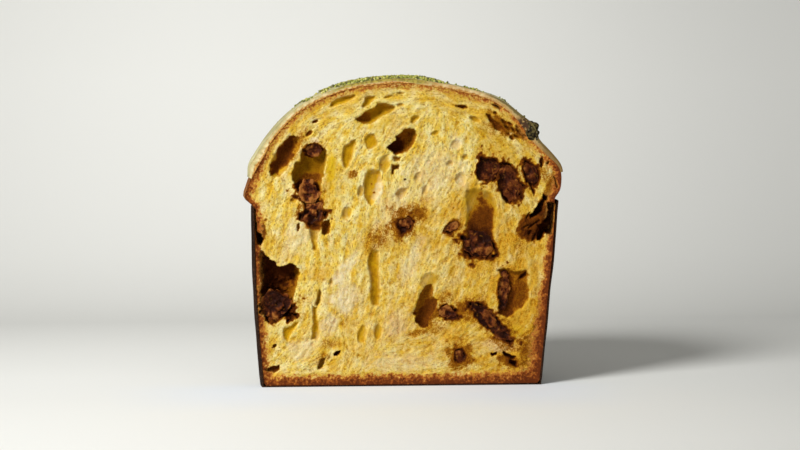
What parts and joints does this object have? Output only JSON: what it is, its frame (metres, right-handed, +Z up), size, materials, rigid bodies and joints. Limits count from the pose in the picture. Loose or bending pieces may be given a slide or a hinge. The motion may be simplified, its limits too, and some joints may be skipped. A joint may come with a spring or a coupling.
{
  "type": "pistachio panettone",
  "caption": "Tall domed pistachio festive loaf in its dark paper case, cut down the middle, with chocolate pieces in the open crumb and a pale glaze with chopped pistachios.",
  "frame": {"origin": "centre of the bounding box at its base, on the surface that the case stands on", "axes": "+Z up; the flat cut face looks towards -Y; +X to the right as seen from the front"},
  "size_m": [0.1907, 0.1098, 0.187],
  "materials": {
    "crumb": "soft open yellow crumb with a browned crust, matte with a faint moist sheen on the cell walls",
    "glaze": "set pale beige-green icing, satin, with green chopped pistachios on it",
    "case_paper": "dark brown greaseproof baking paper, fluted, matte to satin",
    "chocolate": "baked dark chocolate, satin, rough",
    "kernel": "dark roasted kernel, satin"
  },
  "bodies": {
    "root": {"loaf": "crumb", "glaze": "glaze", "paper_case": "case_paper", "roasted_kernel": "kernel", "chocolate_01": "chocolate", "chocolate_02": "chocolate", "chocolate_03": "chocolate", "chocolate_04": "chocolate", "chocolate_05": "chocolate", "chocolate_06": "chocolate", "chocolate_07": "chocolate", "chocolate_08": "chocolate", "chocolate_09": "chocolate", "chocolate_10": "chocolate", "chocolate_11": "chocolate", "chocolate_12": "chocolate", "chocolate_13": "chocolate", "chocolate_14": "chocolate"}
  },
  "joints": []
}
